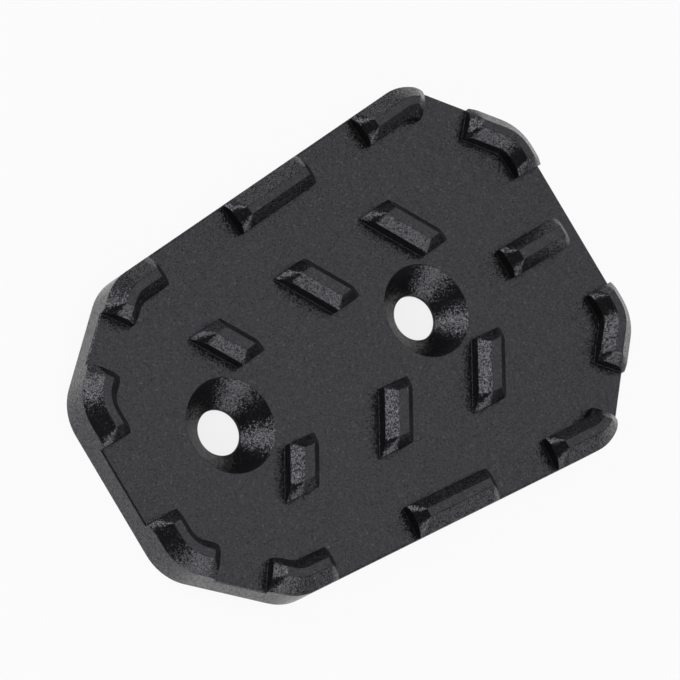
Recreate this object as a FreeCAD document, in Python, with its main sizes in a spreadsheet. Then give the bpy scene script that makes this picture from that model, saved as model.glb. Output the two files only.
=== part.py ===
import FreeCAD, Part
import math
import os
import Sketcher

# Brake pedal extension: one machined plate with a raised grip pattern.
# Frame: millimetres, +Z up. The origin is on the underside, midway between the two screw
# holes. +X runs along the plate to the wide end. The plate is the same on both sides of the
# XZ plane.

V = FreeCAD.Vector
doc = FreeCAD.newDocument("brake_pedal_extension")

# Driving sizes, in millimetres and degrees
sizes = [
    # plate outline, given by its corner points before they are rounded
    ("thick", 3.9),
    ("narrow_end", 37.2),
    ("narrow_half", 12.5),
    ("narrow_shoulder_back", 23.2),
    ("narrow_shoulder_half", 24.1),
    ("wide_shoulder_out", 33.65),
    ("wide_shoulder_half", 28.7),
    ("wide_end", 47.05),
    ("wide_half", 15.3),
    ("corner_radius", 7.5),
    ("edge_break", 0.2),
    # countersunk screw holes
    ("hole_spacing", 36.4),
    ("bore_dia", 6.4),
    ("sink_dia", 13.2),
    # section of the ridges
    ("ridge_height", 3.05),
    ("bevel", 1.45),
    ("bar_bevel", 1.4),
    ("outer_bevel", 2.0),
    ("slope_depth", 2.95),
    ("slope_reach", 3.4),
    ("rim_flat", 1.2),
    ("bar_flat", 1.5),
    ("root_depth", 0.5),
    # rim ridges: straight run on each side of the corner arc, from the arc to the ridge end
    ("narrow_corner_end_run", 3.25),
    ("narrow_corner_cut_run", 2.35),
    ("narrow_shoulder_cut_run", 2.2),
    ("narrow_shoulder_side_run", 4.55),
    ("wide_shoulder_side_run", 7.0),
    ("wide_corner_cut_run", 5.15),
    ("wide_corner_end_run", 2.7),
    ("side_ridge_middle", 5.15),
    ("side_ridge_length", 14.2),
    # slanting bars beside the holes and the straight bar on the middle line
    ("bar_angle", 55.5),
    ("bar_first", -12.45),
    ("bar_pitch", 17.0),
    ("bar_one_off", 9.45),
    ("bar_two_off", 10.1),
    ("bar_three_off", 11.1),
    ("bar_one_length", 7.9),
    ("bar_two_length", 9.7),
    ("bar_three_length", 10.5),
    ("end_bar_middle", 38.6),
    ("end_bar_length", 11.0),
]
sheet = doc.addObject("Spreadsheet::Sheet", "dims")
for row, (name, value) in enumerate(sizes, start=1):
    sheet.set("A%d" % row, name)
    sheet.set("B%d" % row, str(value))
    sheet.setAlias("B%d" % row, name)
doc.recompute()


def dim(name):
    return float(sheet.get(name))


# Derived layout: headings of the outline sides, taken clockwise round the upper half,
# the turn at each corner, and the centre of each corner arc
layout_rows = []


def corner_rows(tag, corner_x, corner_y, head_in, head_out):
    # tan_: distance from the sharp corner to where its arc starts
    turn = "turn_" + tag
    touch = "touch_" + tag
    layout_rows.append((turn, "=%s - %s" % (head_in, head_out)))
    layout_rows.append((touch, "=dims.corner_radius * tan(%s / 2)" % turn))
    layout_rows.append(("cx_" + tag, "=%s - %s * cos(%s) + dims.corner_radius * sin(%s)"
                        % (corner_x, touch, head_in, head_in)))
    layout_rows.append(("cy_" + tag, "=%s - %s * sin(%s) - dims.corner_radius * cos(%s)"
                        % (corner_y, touch, head_in, head_in)))


layout_rows.append(("head_end", "=90 deg"))
layout_rows.append(("head_cut", "=atan((dims.narrow_shoulder_half - dims.narrow_half)"
                    " / (dims.narrow_end - dims.narrow_shoulder_back))"))
layout_rows.append(("head_side", "=atan((dims.wide_shoulder_half - dims.narrow_shoulder_half)"
                    " / (dims.wide_shoulder_out + dims.narrow_shoulder_back))"))
layout_rows.append(("head_far_cut", "=atan((dims.wide_half - dims.wide_shoulder_half)"
                    " / (dims.wide_end - dims.wide_shoulder_out))"))
layout_rows.append(("head_far_end", "=-90 deg"))
corner_rows("nc", "-dims.narrow_end", "dims.narrow_half", "head_end", "head_cut")
corner_rows("ns", "-dims.narrow_shoulder_back", "dims.narrow_shoulder_half", "head_cut", "head_side")
corner_rows("ws", "dims.wide_shoulder_out", "dims.wide_shoulder_half", "head_side", "head_far_cut")
corner_rows("wc", "dims.wide_end", "dims.wide_half", "head_far_cut", "head_far_end")
layout_rows.append(("top", "=dims.thick + dims.ridge_height"))
layout_rows.append(("rim_width", "=dims.outer_bevel + dims.rim_flat + dims.bevel"))
layout_rows.append(("bar_width", "=dims.bar_flat + 2 * dims.bar_bevel"))
layout_rows.append(("skew_deg", "=dims.bar_angle * 1 deg + head_side"))
layout = doc.addObject("Spreadsheet::Sheet", "layout")
for row, (name, formula) in enumerate(layout_rows, start=1):
    layout.set("A%d" % row, name)
    layout.setAlias("B%d" % row, name)
for row, (name, formula) in enumerate(layout_rows, start=1):
    layout.set("B%d" % row, formula)
doc.recompute()


def lay(name):
    value = layout.get(name)
    return float(getattr(value, "Value", value))


body = doc.addObject("PartDesign::Body", "pedal_plate")
body.Label = "pedal_plate"


def origin_feature(role):
    for item in body.Origin.OriginFeatures:
        if item.Role == role:
            return item
    raise RuntimeError("no origin feature " + role)


def new_sketch(name, role="XY_Plane"):
    sketch = body.newObject("Sketcher::SketchObject", name)
    sketch.AttachmentSupport = [(origin_feature(role), "")]
    sketch.MapMode = "FlatFace"
    return sketch


def seat(sketch, x, y, z, angle):
    # place a sketch that lies flat: x, y, z and the turn about +Z are expressions
    sketch.setExpression("AttachmentOffset.Base.x", x)
    sketch.setExpression("AttachmentOffset.Base.y", y)
    sketch.setExpression("AttachmentOffset.Base.z", z)
    sketch.setExpression("AttachmentOffset.Rotation.Angle", angle)


def con(sketch, kind, *args):
    return sketch.addConstraint(Sketcher.Constraint(kind, *args))


def bound(sketch, formula, kind, *args):
    # add a constraint whose size is an expression; the last number given is its present value
    index = sketch.addConstraint(Sketcher.Constraint(kind, *args))
    sketch.setExpression("Constraints[%d]" % index, formula)
    return index



def sin_deg(angle):
    return math.sin(math.radians(angle))


def cos_deg(angle):
    return math.cos(math.radians(angle))


def add_line(sketch, start, end):
    return sketch.addGeometry(Part.LineSegment(V(start[0], start[1], 0), V(end[0], end[1], 0)), False)


def add_arc(sketch, radius, start, end):
    circle = Part.Circle(V(0, 0, 0), V(0, 0, 1), radius)
    return sketch.addGeometry(Part.ArcOfCircle(circle, math.radians(start), math.radians(end)), False)


def outline_sketch(sketch):
    # eight straight sides; the corner points are tied to the sheet
    half = [("-dims.narrow_end", "dims.narrow_half"),
            ("-dims.narrow_shoulder_back", "dims.narrow_shoulder_half"),
            ("dims.wide_shoulder_out", "dims.wide_shoulder_half"),
            ("dims.wide_end", "dims.wide_half")]
    points = [(-dim("narrow_end"), dim("narrow_half")),
              (-dim("narrow_shoulder_back"), dim("narrow_shoulder_half")),
              (dim("wide_shoulder_out"), dim("wide_shoulder_half")),
              (dim("wide_end"), dim("wide_half"))]
    ring = points + [(x, -y) for x, y in reversed(points)]
    count = len(ring)
    for index in range(count):
        add_line(sketch, ring[index], ring[(index + 1) % count])
    for index in range(count):
        con(sketch, "Coincident", index, 2, (index + 1) % count, 1)
    for index, (x_name, y_name) in enumerate(half):
        x_now, y_now = points[index]
        if x_now < 0:
            bound(sketch, x_name[1:], "DistanceX", index, 1, -1, 1, -x_now)
        else:
            bound(sketch, x_name, "DistanceX", -1, 1, index, 1, x_now)
        bound(sketch, y_name, "DistanceY", -1, 1, index, 1, y_now)
        con(sketch, "Symmetric", index, 1, count - 1 - index, 1, -1)


def strip_sketch(sketch, outer, inner, before, after, turn):
    # a strip that follows a rounded corner: straight, arc, straight. The arc centre is the
    # sketch origin and the first straight runs along +X. Each size is (value, formula).
    radius_out = outer[0]
    radius_in = inner[0]
    run_in = before[0]
    run_out = after[0]
    angle = turn[0]
    along = (cos_deg(-angle), sin_deg(-angle))
    across = (sin_deg(angle), cos_deg(angle))
    arc_out = (radius_out * across[0], radius_out * across[1])
    arc_in = (radius_in * across[0], radius_in * across[1])
    end_out = (arc_out[0] + run_out * along[0], arc_out[1] + run_out * along[1])
    end_in = (arc_in[0] + run_out * along[0], arc_in[1] + run_out * along[1])
    add_line(sketch, (-run_in, radius_out), (0, radius_out))
    add_arc(sketch, radius_out, 90 - angle, 90)
    add_line(sketch, arc_out, end_out)
    add_line(sketch, end_out, end_in)
    add_line(sketch, end_in, arc_in)
    add_arc(sketch, radius_in, 90 - angle, 90)
    add_line(sketch, (0, radius_in), (-run_in, radius_in))
    add_line(sketch, (-run_in, radius_in), (-run_in, radius_out))
    con(sketch, "Coincident", 1, 3, -1, 1)
    con(sketch, "Coincident", 5, 3, -1, 1)
    con(sketch, "Tangent", 0, 2, 1, 2)
    con(sketch, "Tangent", 1, 1, 2, 1)
    con(sketch, "Coincident", 2, 2, 3, 1)
    con(sketch, "Coincident", 3, 2, 4, 1)
    con(sketch, "Tangent", 4, 2, 5, 1)
    con(sketch, "Tangent", 5, 2, 6, 1)
    con(sketch, "Coincident", 6, 2, 7, 1)
    con(sketch, "Coincident", 7, 2, 0, 1)
    con(sketch, "Horizontal", 0)
    con(sketch, "Horizontal", 6)
    con(sketch, "Parallel", 2, 4)
    con(sketch, "Perpendicular", 3, 2)
    con(sketch, "Vertical", 7)
    bound(sketch, outer[1], "Radius", 1, radius_out)
    bound(sketch, inner[1], "Radius", 5, radius_in)
    bound(sketch, before[1], "DistanceX", 0, 1, 0, 2, run_in)
    bound(sketch, after[1], "Distance", 2, run_out)
    bound(sketch, "(%s) * sin(%s)" % (outer[1], turn[1]), "DistanceX", -1, 1, 1, 1, arc_out[0])


def hook_sketch(sketch, outer, inner, before, back, turn):
    # a strip that ends on the arc itself: straight, arc, and an end line square to the far
    # side, set back from the end of the full turn
    radius_out = outer[0]
    radius_in = inner[0]
    run_in = before[0]
    angle = turn[0]
    sweep_out = angle - math.degrees(math.asin(back[0] / radius_out))
    sweep_in = angle - math.degrees(math.asin(back[0] / radius_in))
    arc_out = (radius_out * sin_deg(sweep_out), radius_out * cos_deg(sweep_out))
    arc_in = (radius_in * sin_deg(sweep_in), radius_in * cos_deg(sweep_in))
    add_line(sketch, (-run_in, radius_out), (0, radius_out))
    add_arc(sketch, radius_out, 90 - sweep_out, 90)
    add_line(sketch, arc_out, arc_in)
    add_arc(sketch, radius_in, 90 - sweep_in, 90)
    add_line(sketch, (0, radius_in), (-run_in, radius_in))
    add_line(sketch, (-run_in, radius_in), (-run_in, radius_out))
    con(sketch, "Coincident", 1, 3, -1, 1)
    con(sketch, "Coincident", 3, 3, -1, 1)
    con(sketch, "Tangent", 0, 2, 1, 2)
    con(sketch, "Coincident", 1, 1, 2, 1)
    con(sketch, "Coincident", 2, 2, 3, 1)
    con(sketch, "Tangent", 3, 2, 4, 1)
    con(sketch, "Coincident", 4, 2, 5, 1)
    con(sketch, "Coincident", 5, 2, 0, 1)
    con(sketch, "Horizontal", 0)
    con(sketch, "Horizontal", 4)
    con(sketch, "Vertical", 5)
    bound(sketch, outer[1], "Radius", 1, radius_out)
    bound(sketch, inner[1], "Radius", 3, radius_in)
    bound(sketch, before[1], "DistanceX", 0, 1, 0, 2, run_in)
    for edge, radius, now in ((1, outer[1], arc_out[0]), (3, inner[1], arc_in[0])):
        formula = "(%s) * sin(%s - asin((%s) / (%s)))" % (radius, turn[1], back[1], radius)
        bound(sketch, formula, "DistanceX", -1, 1, edge, 1, now)


def bar_sketch(sketch, length, width, skew):
    # a bar centred on the sketch origin, long sides along X, ends at the skew angle
    half_long = length[0] / 2
    half_wide = width[0] / 2
    lean = 0.0 if skew is None else half_wide / math.tan(math.radians(skew[0]))
    corners = [(-half_long - lean, -half_wide), (half_long - lean, -half_wide),
               (half_long + lean, half_wide), (-half_long + lean, half_wide)]
    for index in range(4):
        add_line(sketch, corners[index], corners[(index + 1) % 4])
    for index in range(4):
        con(sketch, "Coincident", index, 2, (index + 1) % 4, 1)
    con(sketch, "Horizontal", 0)
    con(sketch, "Horizontal", 2)
    con(sketch, "Symmetric", 0, 1, 2, 1, -1, 1)
    bound(sketch, length[1], "DistanceX", 0, 1, 0, 2, length[0])
    bound(sketch, width[1], "DistanceY", 1, 1, 1, 2, width[0])
    if skew is None:
        con(sketch, "Vertical", 1)
    else:
        bound(sketch, "(%s) / tan(%s)" % (width[1], skew[1]), "DistanceX", 1, 1, 1, 2, 2 * lean)


def slope_section(name, place, turn, offset):
    # what is milled away outside a ridge's top edge, seen in an upright plane that faces along
    # the ridge: down at 45 degrees from the edge, then level, just above the plate
    sketch = new_sketch(name, "YZ_Plane")
    sketch.AttachmentOffset = FreeCAD.Placement(V(0, 0, 0), FreeCAD.Rotation(V(0, 1, 0), 0.001))
    x_formula, y_formula = place
    sketch.setExpression("AttachmentOffset.Base.x", y_formula)
    sketch.setExpression("AttachmentOffset.Base.y", "layout.top")
    sketch.setExpression("AttachmentOffset.Base.z", x_formula)
    sketch.setExpression("AttachmentOffset.Rotation.Angle", turn)
    start = offset[0]
    depth = dim("slope_depth")
    reach = dim("slope_reach")
    clear = 0.3
    ring = [(start, 0), (start, clear), (start + reach, clear), (start + reach, -depth),
            (start + depth, -depth)]
    for index in range(5):
        add_line(sketch, ring[index], ring[(index + 1) % 5])
    for index in range(5):
        con(sketch, "Coincident", index, 2, (index + 1) % 5, 1)
    con(sketch, "Vertical", 0)
    con(sketch, "Horizontal", 1)
    con(sketch, "Vertical", 2)
    con(sketch, "Horizontal", 3)
    con(sketch, "PointOnObject", 0, 1, -1)
    con(sketch, "DistanceY", 0, 1, 0, 2, clear)
    bound(sketch, offset[1], "DistanceX", -1, 1, 0, 1, start)
    bound(sketch, "dims.slope_reach", "DistanceX", 1, 1, 1, 2, reach)
    bound(sketch, "dims.slope_depth", "DistanceY", 3, 2, 0, 1, depth)
    bound(sketch, "dims.slope_depth", "DistanceX", 0, 1, 3, 2, depth)
    return sketch


def pad_down(name, sketch, formula):
    pad = body.newObject("PartDesign::Pad", name)
    pad.Profile = sketch
    pad.Reversed = True
    pad.setExpression("Length", formula)
    return pad


def mill_slopes(name, profile, path, edges):
    # follow the top edge with the section; it turns about each sharp corner as a cone
    pipe = body.newObject("PartDesign::SubtractivePipe", name)
    pipe.Profile = profile
    pipe.Spine = (path, edges)
    pipe.Transition = "Round corner"
    return pipe


# Plate
outline = new_sketch("outline")
outline_sketch(outline)
plate = body.newObject("PartDesign::Pad", "plate")
plate.Profile = outline
plate.setExpression("Length", "dims.thick")
doc.recompute()


def edges_where(shape, test):
    found = []
    for index, edge in enumerate(shape.Edges, start=1):
        if test(edge):
            found.append("Edge%d" % index)
    return found


def is_upright(edge):
    box = edge.BoundBox
    return box.XLength < 1e-6 and box.YLength < 1e-6


corners = body.newObject("PartDesign::Fillet", "rounded_corners")
corners.Base = (plate, edges_where(plate.Shape, is_upright))
corners.setExpression("Radius", "dims.corner_radius")
doc.recompute()


def is_outline_edge(edge):
    return edge.BoundBox.ZLength < 1e-6


breaks = body.newObject("PartDesign::Chamfer", "edge_breaks")
breaks.Base = (corners, edges_where(corners.Shape, is_outline_edge))
breaks.setExpression("Size", "dims.edge_break")
doc.recompute()

# Countersunk holes: the section of one hole turned about its axis, then repeated
hole_section = new_sketch("hole_section", "XZ_Plane")
hole_section.setExpression("AttachmentOffset.Base.x", "-dims.hole_spacing / 2")
bore_radius = dim("bore_dia") / 2
sink_radius = dim("sink_dia") / 2
sink_deep = sink_radius - bore_radius
over = 1.0
ring = [(0, -over), (bore_radius, -over), (bore_radius, dim("thick") - sink_deep),
        (sink_radius + over, dim("thick") + over), (0, dim("thick") + over)]
for index in range(5):
    add_line(hole_section, ring[index], ring[(index + 1) % 5])
for index in range(5):
    con(hole_section, "Coincident", index, 2, (index + 1) % 5, 1)
con(hole_section, "Horizontal", 0)
con(hole_section, "Vertical", 1)
con(hole_section, "Horizontal", 3)
con(hole_section, "Vertical", 4)
con(hole_section, "PointOnObject", 0, 1, -2)
bound(hole_section, "1", "DistanceY", 0, 1, -1, 1, over)
bound(hole_section, "dims.bore_dia / 2", "DistanceX", 0, 1, 0, 2, bore_radius)
bound(hole_section, "dims.thick - (dims.sink_dia - dims.bore_dia) / 2", "DistanceY",
      -1, 1, 1, 2, dim("thick") - sink_deep)
bound(hole_section, "(dims.sink_dia - dims.bore_dia) / 2 + 1", "DistanceX", 2, 1, 2, 2,
      sink_deep + over)
bound(hole_section, "(dims.sink_dia - dims.bore_dia) / 2 + 1", "DistanceY", 2, 1, 2, 2,
      sink_deep + over)
doc.recompute()
volume_before = body.Shape.Volume
hole = body.newObject("PartDesign::Groove", "screw_hole")
hole.Profile = hole_section
hole.ReferenceAxis = (hole_section, ["V_Axis"])
hole.Angle = 360
doc.recompute()
holes = body.newObject("PartDesign::LinearPattern", "screw_holes")
holes.Originals = [hole]
holes.Direction = (origin_feature("X_Axis"), [""])
holes.setExpression("Length", "dims.hole_spacing")
holes.Occurrences = 2
body.Tip = holes
doc.recompute()
if volume_before - body.Shape.Volume < 2 * math.pi * bore_radius ** 2 * dim("thick"):
    raise RuntimeError("the screw holes cut too little")

deep = "dims.ridge_height + dims.root_depth"
bevel = (dim("bevel"), "dims.bevel")
bar_bevel = (dim("bar_bevel"), "dims.bar_bevel")
outer_bevel = (dim("outer_bevel"), "dims.outer_bevel")


def rim_ridge(name, tag, head, before, after):
    # a ridge that wraps one rounded corner of the plate, flush with the plate's side
    round_off = dim("corner_radius")
    turn = (lay("turn_" + tag), "layout.turn_" + tag)
    top_out = (round_off - outer_bevel[0], "dims.corner_radius - dims.outer_bevel")
    top_in = (top_out[0] - dim("rim_flat"), top_out[1] + " - dims.rim_flat")
    foot_out = (round_off, "dims.corner_radius")
    foot_in = (round_off - lay("rim_width"), "dims.corner_radius - layout.rim_width")
    run_in = (dim(before) - bevel[0], "dims.%s - dims.bevel" % before)
    foot_run_in = (dim(before), "dims." + before)
    top_edge = new_sketch(name + "_top_edge")
    foot = new_sketch(name + "_foot")
    if after is None:
        hook_sketch(top_edge, top_out, top_in, run_in, bevel, turn)
        hook_sketch(foot, foot_out, foot_in, foot_run_in, (0.0, "0"), turn)
        ring = ["Edge%d" % number for number in range(1, 7)]
    else:
        run_out = (dim(after) - bevel[0], "dims.%s - dims.bevel" % after)
        strip_sketch(top_edge, top_out, top_in, run_in, run_out, turn)
        strip_sketch(foot, foot_out, foot_in, foot_run_in, (dim(after), "dims." + after), turn)
        ring = ["Edge%d" % number for number in range(1, 9)]
    for sketch in (top_edge, foot):
        seat(sketch, "layout.cx_" + tag, "layout.cy_" + tag, "layout.top", "layout." + head)
    # upright plane across the first straight, halfway along it
    place = ("layout.cx_%s - (%s) / 2 * cos(layout.%s)" % (tag, run_in[1], head),
             "layout.cy_%s - (%s) / 2 * sin(layout.%s)" % (tag, run_in[1], head))
    section = slope_section(name + "_section", place, "layout." + head, top_out)
    doc.recompute()
    pad_down(name + "_block", foot, deep)
    doc.recompute()
    mill_slopes(name + "_slopes", section, top_edge, ring)
    doc.recompute()


rim_ridge("narrow_corner", "nc", "head_end", "narrow_corner_end_run", "narrow_corner_cut_run")
rim_ridge("narrow_shoulder", "ns", "head_cut", "narrow_shoulder_cut_run",
          "narrow_shoulder_side_run")
rim_ridge("wide_shoulder", "ws", "head_side", "wide_shoulder_side_run", None)
rim_ridge("wide_corner", "wc", "head_far_cut", "wide_corner_cut_run", "wide_corner_end_run")


def straight_bar(name, middle, turn, length, flat, skew, slope, foot_width, shift):
    # a straight ridge; shift moves the foot sideways where the flat top isn't over its middle
    wide = (dim(flat), "dims." + flat)
    if skew is None:
        short = (length[0] - 2 * slope[0], "%s - 2 * %s" % (length[1], slope[1]))
    else:
        short = (length[0] - 2 * slope[0] / sin_deg(skew[0]),
                 "%s - 2 * %s / sin(%s)" % (length[1], slope[1], skew[1]))
    top_edge = new_sketch(name + "_top_edge")
    bar_sketch(top_edge, short, wide, skew)
    seat(top_edge, middle[0], middle[1], "layout.top", turn)
    foot = new_sketch(name + "_foot")
    bar_sketch(foot, length, foot_width, skew)
    seat(foot, "%s + (%s) * sin(%s)" % (middle[0], shift, turn),
         "%s - (%s) * cos(%s)" % (middle[1], shift, turn), "layout.top", turn)
    half = (wide[0] / 2, wide[1] + " / 2")
    section = slope_section(name + "_section", middle, turn, half)
    doc.recompute()
    pad_down(name + "_block", foot, deep)
    doc.recompute()
    ring = ["Edge%d" % number for number in range(1, 5)]
    mill_slopes(name + "_slopes", section, top_edge, ring)
    doc.recompute()


# Ridge along the middle of each long side, flush with the side face. Its top edge lies the
# outer bevel plus half the flat inside the side line.
side_turn = "layout.head_side"
side_run = "(dims.side_ridge_middle + dims.narrow_shoulder_back)"
side_in = "(dims.outer_bevel + dims.rim_flat / 2)"
side_middle = ("dims.side_ridge_middle + %s * sin(%s)" % (side_in, side_turn),
               "dims.narrow_shoulder_half + %s * tan(%s) - %s * cos(%s)"
               % (side_run, side_turn, side_in, side_turn))
side_length = (dim("side_ridge_length"), "dims.side_ridge_length")
rim_width = (lay("rim_width"), "layout.rim_width")
straight_bar("side_ridge", side_middle, side_turn, side_length, "rim_flat", None, bevel,
             rim_width, "(dims.bevel - dims.outer_bevel) / 2")

# Three slanting bars on each side of the middle line; their ends run along the long sides
bar_width = (lay("bar_width"), "layout.bar_width")
bar_skew = (lay("skew_deg"), "layout.skew_deg")
bar_turn = "-dims.bar_angle * 1 deg"
for index, number in enumerate(("one", "two", "three")):
    middle = ("dims.bar_first + %d * dims.bar_pitch" % index, "dims.bar_%s_off" % number)
    length = (dim("bar_%s_length" % number), "dims.bar_%s_length" % number)
    straight_bar("bar_" + number, middle, bar_turn, length, "bar_flat", bar_skew, bar_bevel,
                 bar_width, "0")

# Straight bar on the middle line at the wide end
end_length = (dim("end_bar_length"), "dims.end_bar_length")
straight_bar("end_bar", ("dims.end_bar_middle", "0"), "0 deg", end_length, "bar_flat", None,
             bar_bevel, bar_width, "0")

# The other half of the grip pattern: the whole plate is mirrored onto itself
other_half = body.newObject("PartDesign::Mirrored", "other_half")
other_half.TransformMode = "Whole shape"
other_half.MirrorPlane = (origin_feature("XZ_Plane"), [""])
body.Tip = other_half
doc.recompute()

for item in doc.Objects:
    if "Invalid" in item.State or "Error" in item.State:
        raise RuntimeError("feature failed: " + item.Name)
shape = body.Shape
if shape.isNull() or not shape.isValid() or len(shape.Solids) != 1:
    raise RuntimeError("the plate isn't one valid solid")
os.makedirs("parts", exist_ok=True)
shape.exportStep("parts/pedal_plate.step")
print("volume", round(shape.Volume, 1), "faces", len(shape.Faces), "box", shape.BoundBox)
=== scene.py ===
# %% [markdown]
# # Brake pedal extension
#
# The real part is one small plate of aluminium, about 84 mm long and 57 mm wide, that screws on
# top of a motorcycle's brake pedal to give the boot a wider foothold. It is milled from solid
# stock: seventeen short ridges with sloping flanks stand on it for grip, two countersunk holes
# take the screws, and the whole piece is blasted with fine beads and anodised black. It has no
# joints and no second piece, so everything in this file is about one surface and the light that
# shows it.

# %% [markdown]
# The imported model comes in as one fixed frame, in metres. Its box is kept right away, before
# anything is added, and sizes below are written in millimetres times MM.

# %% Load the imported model
import math

import bmesh
import bpy
from mathutils import Euler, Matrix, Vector


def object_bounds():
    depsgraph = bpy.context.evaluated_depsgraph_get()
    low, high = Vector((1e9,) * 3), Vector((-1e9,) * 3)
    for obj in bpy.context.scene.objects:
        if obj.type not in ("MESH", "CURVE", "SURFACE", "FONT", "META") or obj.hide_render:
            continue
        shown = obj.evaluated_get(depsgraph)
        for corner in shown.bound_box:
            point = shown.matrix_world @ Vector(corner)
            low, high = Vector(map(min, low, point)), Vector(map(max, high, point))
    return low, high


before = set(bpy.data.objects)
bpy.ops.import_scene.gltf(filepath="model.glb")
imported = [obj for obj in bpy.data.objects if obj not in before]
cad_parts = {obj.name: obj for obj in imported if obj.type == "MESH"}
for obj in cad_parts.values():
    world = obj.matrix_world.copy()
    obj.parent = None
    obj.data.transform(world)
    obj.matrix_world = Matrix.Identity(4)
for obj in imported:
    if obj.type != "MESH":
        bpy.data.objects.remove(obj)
cad_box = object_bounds()
MM = 0.001
PLATE = "pedal_plate"
low, high = cad_box
print("plate, mm:", [round((b - a) / MM, 1) for a, b in zip(low, high)])

# %% [markdown]
# Colours are easiest to read as the hex values of a paint chart, but the renderer works with
# linear light. One function turns the first into the second, so every colour below is written the
# same way.


# %% One way to write a colour
def linear_colour(code):
    """Turns an sRGB hex value such as "3a3a3c" into linear RGBA."""
    channels = [int(code[i : i + 2], 16) / 255 for i in (0, 2, 4)]
    linear = [c / 12.92 if c <= 0.04045 else ((c + 0.055) / 1.055) ** 2.4 for c in channels]
    return (*linear, 1.0)


print("mid grey 808080 is", round(linear_colour("808080")[0], 3), "in linear light")

# %% [markdown]
# A material is a small network of nodes. Adding a node always takes the same steps: make it, set
# its options, fill its sockets and link what feeds it. The next function does all four, so that
# each finish can be read from top to bottom as a recipe.


# %% One way to add a node
def add_node(tree, kind, options=None, values=None, links=None):
    """Adds a node; options are its settings, values its sockets, links what feeds its sockets."""
    node = tree.nodes.new(kind)
    for name, setting in (options or {}).items():
        setattr(node, name, setting)
    for socket, value in (values or {}).items():
        node.inputs[socket].default_value = value
    for socket, source in (links or {}).items():
        tree.links.new(source, node.inputs[socket])
    return node


def new_material(name):
    """Makes an empty node material and returns it with its tree."""
    material = bpy.data.materials.new(name)
    material.use_nodes = True
    material.node_tree.nodes.clear()
    return material, material.node_tree


print("node helper ready")

# %% [markdown]
# The finish is black anodised aluminium. Beads of about 0.1 mm are blown at the milled metal,
# which leaves a skin of tiny shallow dents, and the oxide that grows on it is dyed black. To the
# eye it is a dark metal whose highlights break up into sparkle, because each dent mirrors the
# lamps at its own angle. A smooth noise in the bump would give it hammered waves instead, so the
# dents are made as cells: each cell of a Voronoi pattern gets one random lean, which is added to
# the direction that the surface faces. One pixel of the picture is 0.13 mm wide, so the cells are
# drawn at 0.13 mm, a little coarser than the real dents, or they would average out.

# %% Blasted dents, each with its own lean
DENT = 0.13 * MM
LEAN = 0.36
MIDDLE_OF_RANGE = (0.5, 0.5, 0.5)
anodised, tree = new_material("black_anodised_bead_blasted_aluminium")
place = add_node(tree, "ShaderNodeTexCoord").outputs["Object"]
dents = add_node(
    tree, "ShaderNodeTexVoronoi", values={"Scale": 1 / DENT}, links={"Vector": place}
)
centred = add_node(
    tree,
    "ShaderNodeVectorMath",
    {"operation": "SUBTRACT"},
    {1: MIDDLE_OF_RANGE},
    {0: dents.outputs["Color"]},
)
lean = add_node(
    tree,
    "ShaderNodeVectorMath",
    {"operation": "SCALE"},
    {"Scale": LEAN},
    {0: centred.outputs["Vector"]},
)
print("dents drawn at", round(DENT / MM, 2), "mm, leaning up to", LEAN / 2, "to each side")

# %% [markdown]
# Blasting and anodising also take the razor edge off a milled corner. The edges of the CAD model
# are perfectly sharp, so a Bevel node blends the direction of the two faces over 0.2 mm on each
# side. That changes only the light, not the shape, and takes the hard computer look off the
# narrow flats.

# %% Softened edges
EDGE = 0.2 * MM
EDGE_SAMPLES = 4
soft_edge = add_node(tree, "ShaderNodeBevel", {"samples": EDGE_SAMPLES}, {"Radius": EDGE})
leaning = add_node(
    tree,
    "ShaderNodeVectorMath",
    {"operation": "ADD"},
    links={0: soft_edge.outputs["Normal"], 1: lean.outputs["Vector"]},
)
facing = add_node(
    tree, "ShaderNodeVectorMath", {"operation": "NORMALIZE"}, links={0: leaning.outputs["Vector"]}
)
print("edges softened over", EDGE / MM, "mm")

# %% [markdown]
# Most of the skin is one charcoal black, and a few dents are made paler. These pale specks are
# partly dust and partly painted sparkle: they stand in for dents that catch the lamps, which the
# leaning dents alone don't show on the flat top. A second cell pattern, half as coarse again,
# gives each cell a number from 0 to 1, and a high power of it leaves only the rare top values
# bright. The specks stay few, because the side walls mirror the white paper, where a patchy
# colour shows much more than a leaning dent does.

# %% Black dye with a few paler specks of dust and painted sparkle
SPECK = 0.19 * MM
SPECK_RARITY = 8.0
CHARCOAL = "3c3c3f"
# the pale specks are partly dust and partly painted sparkle
PALE_SPECK_AND_SPARKLE = "5c5c5d"
FIRST_COLOUR, SECOND_COLOUR, MIXED_COLOUR = 6, 7, 2  # where a Mix node keeps its colour sockets
specks = add_node(
    tree, "ShaderNodeTexVoronoi", values={"Scale": 1 / SPECK}, links={"Vector": place}
)
rare = add_node(
    tree,
    "ShaderNodeMath",
    {"operation": "POWER"},
    {1: SPECK_RARITY},
    {0: specks.outputs["Color"]},
)
# charcoal mixed with the pale specks of dust and painted sparkle
dye_and_sparkle = add_node(
    tree,
    "ShaderNodeMix",
    {"data_type": "RGBA"},
    {FIRST_COLOUR: linear_colour(CHARCOAL), SECOND_COLOUR: linear_colour(PALE_SPECK_AND_SPARKLE)},
    {"Factor": rare.outputs["Value"]},
)
print("specks drawn at", round(SPECK / MM, 2), "mm")

# %% [markdown]
# The oxide is a thin glassy layer over the metal, so a little of the light comes back from the
# dye rather than from the aluminium. Metallic at 0.88 keeps that share small: faces turned away
# from every lamp stay nearly black, and the rest mirror the lamps in the colour of the dye. The
# roughness is that of the skin inside one dent. At a grazing angle even this black turns pale, so
# the side walls, which mirror the white paper, come out grey.

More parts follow.
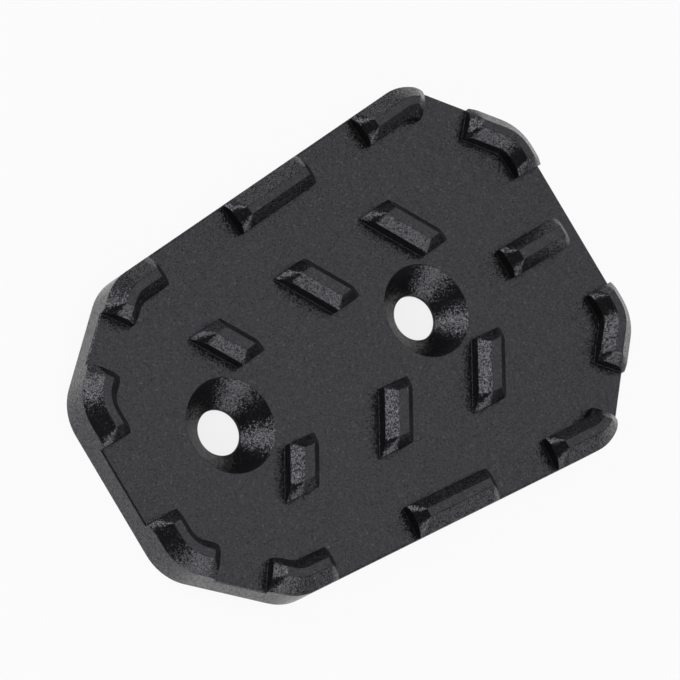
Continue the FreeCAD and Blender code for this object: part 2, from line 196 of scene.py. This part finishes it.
# %% Black anodised aluminium, bead blasted
METAL_SHARE = 0.88
DENT_ROUGHNESS = 0.26
skin = add_node(
    tree,
    "ShaderNodeBsdfPrincipled",
    values={"Metallic": METAL_SHARE, "Roughness": DENT_ROUGHNESS},
    links={"Base Color": dye_and_sparkle.outputs[MIXED_COLOUR], "Normal": facing.outputs["Vector"]},
)
add_node(tree, "ShaderNodeOutputMaterial", links={"Surface": skin.outputs["BSDF"]})
print("finish:", anodised.name)

# %% [markdown]
# The plate comes in with one material slot, which holds the plain material from its record. The
# new finish takes that one's place. None of the CAD model's points or faces change.

# %% Put the finish on the plate
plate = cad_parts[PLATE]
for slot in plate.material_slots:
    slot.material = anodised
print("slots on the plate:", len(plate.material_slots))

# %% [markdown]
# The plate lies on white paper. A bare white floor would only look white if it were flooded with
# light, and that light would fall on the plate as well. Instead the floor shows itself as plain
# white to the camera and to surfaces that mirror it, and keeps a small share of its real shading,
# which holds the plate's soft shadow. Its edge curls up into a low rim, as paper does in a
# photographer's tent. The outer bevels of the side ridges mirror exactly the horizon, and without
# the rim their dents would catch white paper and dark room by turns. The paper gives way a little
# under the plate, so that the two faces don't lie in one plane and flicker.

# %% Floor with a low curled rim
FLOOR_RADIUS = 1.3
FLOOR_SEGMENTS = 96
PAPER_GIVE = 0.05 * MM
RIM_STEPS = ((1.05, 0.02), (1.03, 0.06), (1.01, 0.11))  # each ring: times wider, metres higher
mesh = bpy.data.meshes.new("floor")
shape = bmesh.new()
bmesh.ops.create_circle(shape, cap_ends=True, segments=FLOOR_SEGMENTS, radius=FLOOR_RADIUS)
rim = [edge for edge in shape.edges if edge.is_boundary]
for grow, rise in RIM_STEPS:
    raised = bmesh.ops.extrude_edge_only(shape, edges=rim)["geom"]
    ring = [part for part in raised if isinstance(part, bmesh.types.BMVert)]
    rim = [part for part in raised if isinstance(part, bmesh.types.BMEdge)]
    bmesh.ops.scale(shape, verts=ring, vec=(grow, grow, 1.0))
    bmesh.ops.translate(shape, verts=ring, vec=(0.0, 0.0, rise))
bmesh.ops.translate(shape, verts=shape.verts[:], vec=(0.0, 0.0, -PAPER_GIVE))
bmesh.ops.reverse_faces(shape, faces=[face for face in shape.faces if face.normal.z < 0])
shape.to_mesh(mesh)
shape.free()
floor = bpy.data.objects.new("floor", mesh)
bpy.context.scene.collection.objects.link(floor)
rim_height = max(vertex.co.z for vertex in mesh.vertices)
print("floor", round(2 * FLOOR_RADIUS, 1), "m across, rim", round(rim_height, 2), "m high")

# %% [markdown]
# Inside the two screw holes the paper lies deep in the plate's shade, and this shade is painted:
# within reach of a hole the paper gets a smaller share of plain white, so that it doesn't glow
# into the countersinks. Both holes are the same distance from the origin, so taking the absolute
# value of the place folds one onto the other, and one distance then tells what lies within a
# hole.

# %% Where the paper gets painted shade inside a screw hole
HOLE_FROM_MIDDLE = 18.2 * MM
HOLE_REACH = 5.0 * MM
paper, tree = new_material("white_matt_paper")
place = add_node(tree, "ShaderNodeTexCoord").outputs["Object"]
folded = add_node(tree, "ShaderNodeVectorMath", {"operation": "ABSOLUTE"}, links={0: place})
from_hole = add_node(
    tree,
    "ShaderNodeVectorMath",
    {"operation": "DISTANCE"},
    values={1: (HOLE_FROM_MIDDLE, 0.0, 0.0)},
    links={0: folded.outputs["Vector"]},
)
# painted shade mask: 1 within reach of a hole, else 0
painted_hole_shade = add_node(
    tree,
    "ShaderNodeMath",
    {"operation": "LESS_THAN"},
    values={1: HOLE_REACH},
    links={0: from_hole.outputs["Value"]},
)
print("hole centres", HOLE_FROM_MIDDLE / MM, "mm either side of the middle")

# %% [markdown]
# A Light Path node tells which kind of ray looks at the paper. Each kind gets its own share of
# plain white: rays from the camera, from a mirroring surface and through a clear one. All other
# rays, such as those that carry soft light around, see ordinary paper.

# %% How plainly each kind of ray sees the paper as white
PAPER_WHITE = "f0f0f0"
WHITE_SHARES = (  # kind of ray, share on the open paper, share inside a hole
    ("Is Camera Ray", 0.93, 0.8),
    ("Is Glossy Ray", 0.9, 0.0),
    ("Is Transmission Ray", 0.9, 0.0),
)
ray = add_node(tree, "ShaderNodeLightPath")
share = None
for ray_name, open_share, hole_share in WHITE_SHARES:
    level = add_node(
        tree,
        "ShaderNodeMapRange",
        values={"To Min": open_share, "To Max": hole_share},
        links={"Value": painted_hole_shade.outputs["Value"]},
    )
    seen = add_node(
        tree,
        "ShaderNodeMath",
        {"operation": "MULTIPLY"},
        links={0: ray.outputs[ray_name], 1: level.outputs["Result"]},
    )
    if share is None:
        share = seen
    else:
        share = add_node(
            tree,
            "ShaderNodeMath",
            {"operation": "MAXIMUM"},
            links={0: share.outputs["Value"], 1: seen.outputs["Value"]},
        )
matt = add_node(tree, "ShaderNodeBsdfDiffuse", values={"Color": linear_colour(PAPER_WHITE)})
white = add_node(tree, "ShaderNodeEmission", values={"Strength": 1.0})
mixed = add_node(
    tree,
    "ShaderNodeMixShader",
    links={"Fac": share.outputs["Value"], 1: matt.outputs["BSDF"], 2: white.outputs["Emission"]},
)
add_node(tree, "ShaderNodeOutputMaterial", links={"Surface": mixed.outputs["Shader"]})
mesh.materials.append(paper)
print("paper:", paper.name)

# %% [markdown]
# A dark metal shows hardly any colour of its own: what the eye sees on each face is whatever
# stands in the mirror direction. The lamps are therefore placed by what the faces of the real
# part reflect. The flat top mirrors a large soft box overhead, just small enough that a few dents
# at a time lean past its edge. A second box, almost straight above, does the same for an eye that
# looks down on the plate. The near flanks of the slanting ridges mirror two low boxes at the
# sides. The far flanks look down at the plate, which mirrors a weak box behind it. The flanks
# that face the camera squarely mirror the dim room.


# %% Soft boxes
def soft_box(name, azimuth, elevation, distance, width, height, glow):
    """Hangs a rectangular lamp in a given direction, facing the plate; glow 1 looks white."""
    turn, lift = math.radians(azimuth), math.radians(elevation)
    level = math.cos(lift)
    away = Vector((math.cos(turn) * level, math.sin(turn) * level, math.sin(lift)))
    data = bpy.data.lights.new(name, "AREA")
    data.shape = "RECTANGLE"
    data.size, data.size_y = width, height
    data.energy = glow * math.pi * width * height
    lamp = bpy.data.objects.new(name, data)
    lamp.location = away * distance
    lamp.rotation_mode = "QUATERNION"
    lamp.rotation_quaternion = away.to_track_quat("Z", "Y")
    lamp.visible_camera = False
    bpy.context.scene.collection.objects.link(lamp)
    return lamp


LAMPS = (  # name, azimuth, elevation, distance, width, height, glow
    ("box_overhead", 0, 60, 1.0, 0.7, 0.7, 1.16),
    ("box_behind", 0, 27, 1.0, 0.9, 0.3, 0.75),
    ("box_above", 180, 86, 1.0, 0.6, 0.6, 0.9),
    ("box_left", 117, 27, 0.9, 0.44, 0.42, 4.8),
    ("box_right", -117, 27, 0.9, 0.78, 0.42, 2.9),
)
lamps = [soft_box(*row) for row in LAMPS]
print(len(lamps), "soft boxes")

# %% [markdown]
# Whatever no lamp covers is the room itself. It is a plain dark grey, so the flanks that mirror
# it stay nearly black but don't sink into nothing.

# %% Dim room
ROOM_GREY = "404040"
world = bpy.data.worlds.new("dim_room")
bpy.context.scene.world = world
world.use_nodes = True
room = world.node_tree.nodes["Background"]
room.inputs["Color"].default_value = linear_colour(ROOM_GREY)
room.inputs["Strength"].default_value = 1.0
print("room at", round(linear_colour(ROOM_GREY)[0], 3))

# %% [markdown]
# The camera stands beyond the narrow end and above it, almost in line with the long axis, about
# 0.63 m away with a long lens. It is rolled so that the long axis runs up to the right. Its place
# comes from fitting the plate's outline and holes to the picture.

# %% Camera
SENSOR_WIDTH = 36.0
FOCAL_LENGTH = 250.35
NEAREST, FARTHEST = 0.01, 20.0
CAMERA_PLACE = Vector((-350.03, -4.22, 529.01)) * MM
CAMERA_TURN = (19.4094, -28.4266, -35.4262)
camera_data = bpy.data.cameras.new("camera")
camera_data.sensor_width = SENSOR_WIDTH
camera_data.lens = FOCAL_LENGTH
camera_data.clip_start, camera_data.clip_end = NEAREST, FARTHEST
camera = bpy.data.objects.new("camera", camera_data)
camera.location = CAMERA_PLACE
camera.rotation_euler = Euler([math.radians(angle) for angle in CAMERA_TURN], "XYZ")
bpy.context.scene.collection.objects.link(camera)
bpy.context.scene.camera = camera
bpy.context.scene.view_settings.view_transform = "Standard"
print("camera", round(camera.location.length, 3), "m from the plate")
